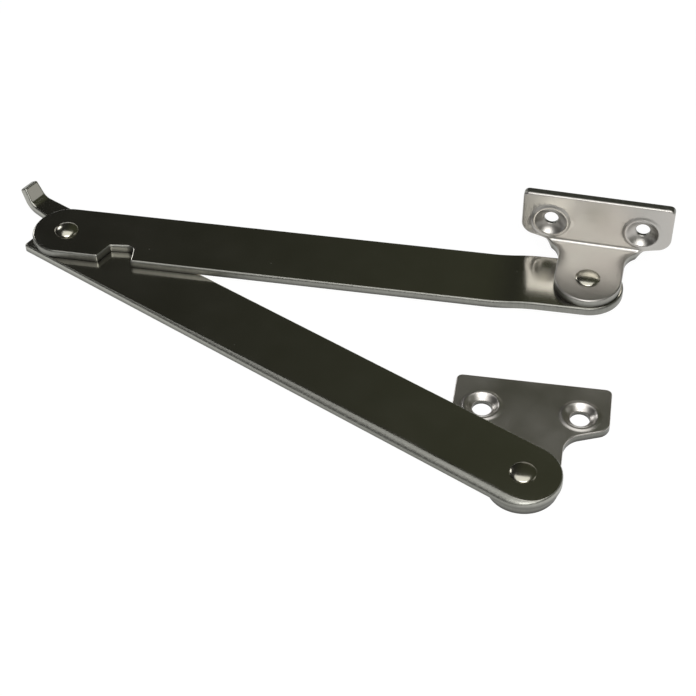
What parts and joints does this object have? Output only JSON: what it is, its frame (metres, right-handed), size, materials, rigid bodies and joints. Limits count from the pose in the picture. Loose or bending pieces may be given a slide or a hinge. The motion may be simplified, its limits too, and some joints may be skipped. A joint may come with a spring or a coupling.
{
  "type": "folding lid support",
  "caption": "Folding lid support with riveted arms, a flat side bracket and an angled lid bracket; a bent lug stops it in a notch when open.",
  "frame": {"origin": "on the side bracket's pivot axis, at its back face, which is screwed to the cabinet's side", "axes": "+Z out of the side bracket's back face, along its screw holes; +X along its line of holes; +Y to its far edge"},
  "size_m": [0.1533, 0.0794, 0.0212],
  "materials": {
    "arm_nickel": "bright nickel plate",
    "bracket_nickel": "satin nickel plate",
    "rivet_nickel": "bright nickel plate"
  },
  "bodies": {
    "side_bracket": {"side_bracket": "bracket_nickel", "side_bracket_rivet": "rivet_nickel"},
    "lower_arm": {"lower_arm": "arm_nickel", "elbow_rivet": "rivet_nickel"},
    "upper_arm": {"upper_arm": "arm_nickel", "lid_bracket_rivet": "rivet_nickel"},
    "lid_bracket": {"lid_bracket": "bracket_nickel"}
  },
  "joints": [
    {"name": "side_pivot", "type": "hinge", "parent": "side_bracket", "child": "lower_arm", "pos_m": [0, 0, 0], "axis": [0, 0, 1], "continuous": true},
    {"name": "elbow", "type": "hinge", "parent": "lower_arm", "child": "upper_arm", "pos_m": [-0.11177, 0.05597, 0], "axis": [0, 0, 1], "range_deg": [-200, 91.5]},
    {"name": "lid_pivot", "type": "hinge", "parent": "upper_arm", "child": "lid_bracket", "pos_m": [0.00902, 0.05428, 0], "axis": [0, 0, 1], "continuous": true}
  ]
}
